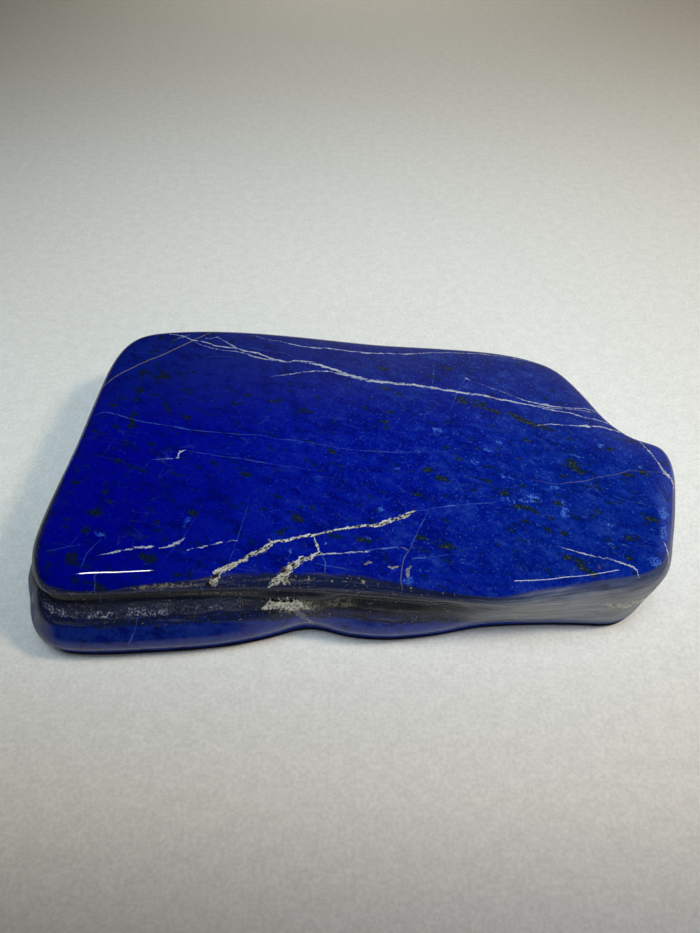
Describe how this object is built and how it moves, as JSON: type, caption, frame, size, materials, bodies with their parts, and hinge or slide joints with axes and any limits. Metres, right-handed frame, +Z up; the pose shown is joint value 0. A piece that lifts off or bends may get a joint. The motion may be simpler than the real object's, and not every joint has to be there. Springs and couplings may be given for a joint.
{
  "type": "polished lapis lazuli slab",
  "caption": "Polished free-form slab of deep blue lapis lazuli with white veins and dark golden flecks, resting on its flat underside.",
  "frame": {"origin": "middle of the slab's box, on the flat underside", "axes": "+X along the longest extent towards the tapered right end, +Y towards the back edge, +Z up through the thickness"},
  "size_m": [0.2272, 0.1412, 0.032],
  "materials": {
    "lapis": "polished deep blue stone with white veins, grey matrix bands and dark golden flecks"
  },
  "bodies": {
    "root": {"lapis_slab": "lapis"}
  },
  "joints": []
}
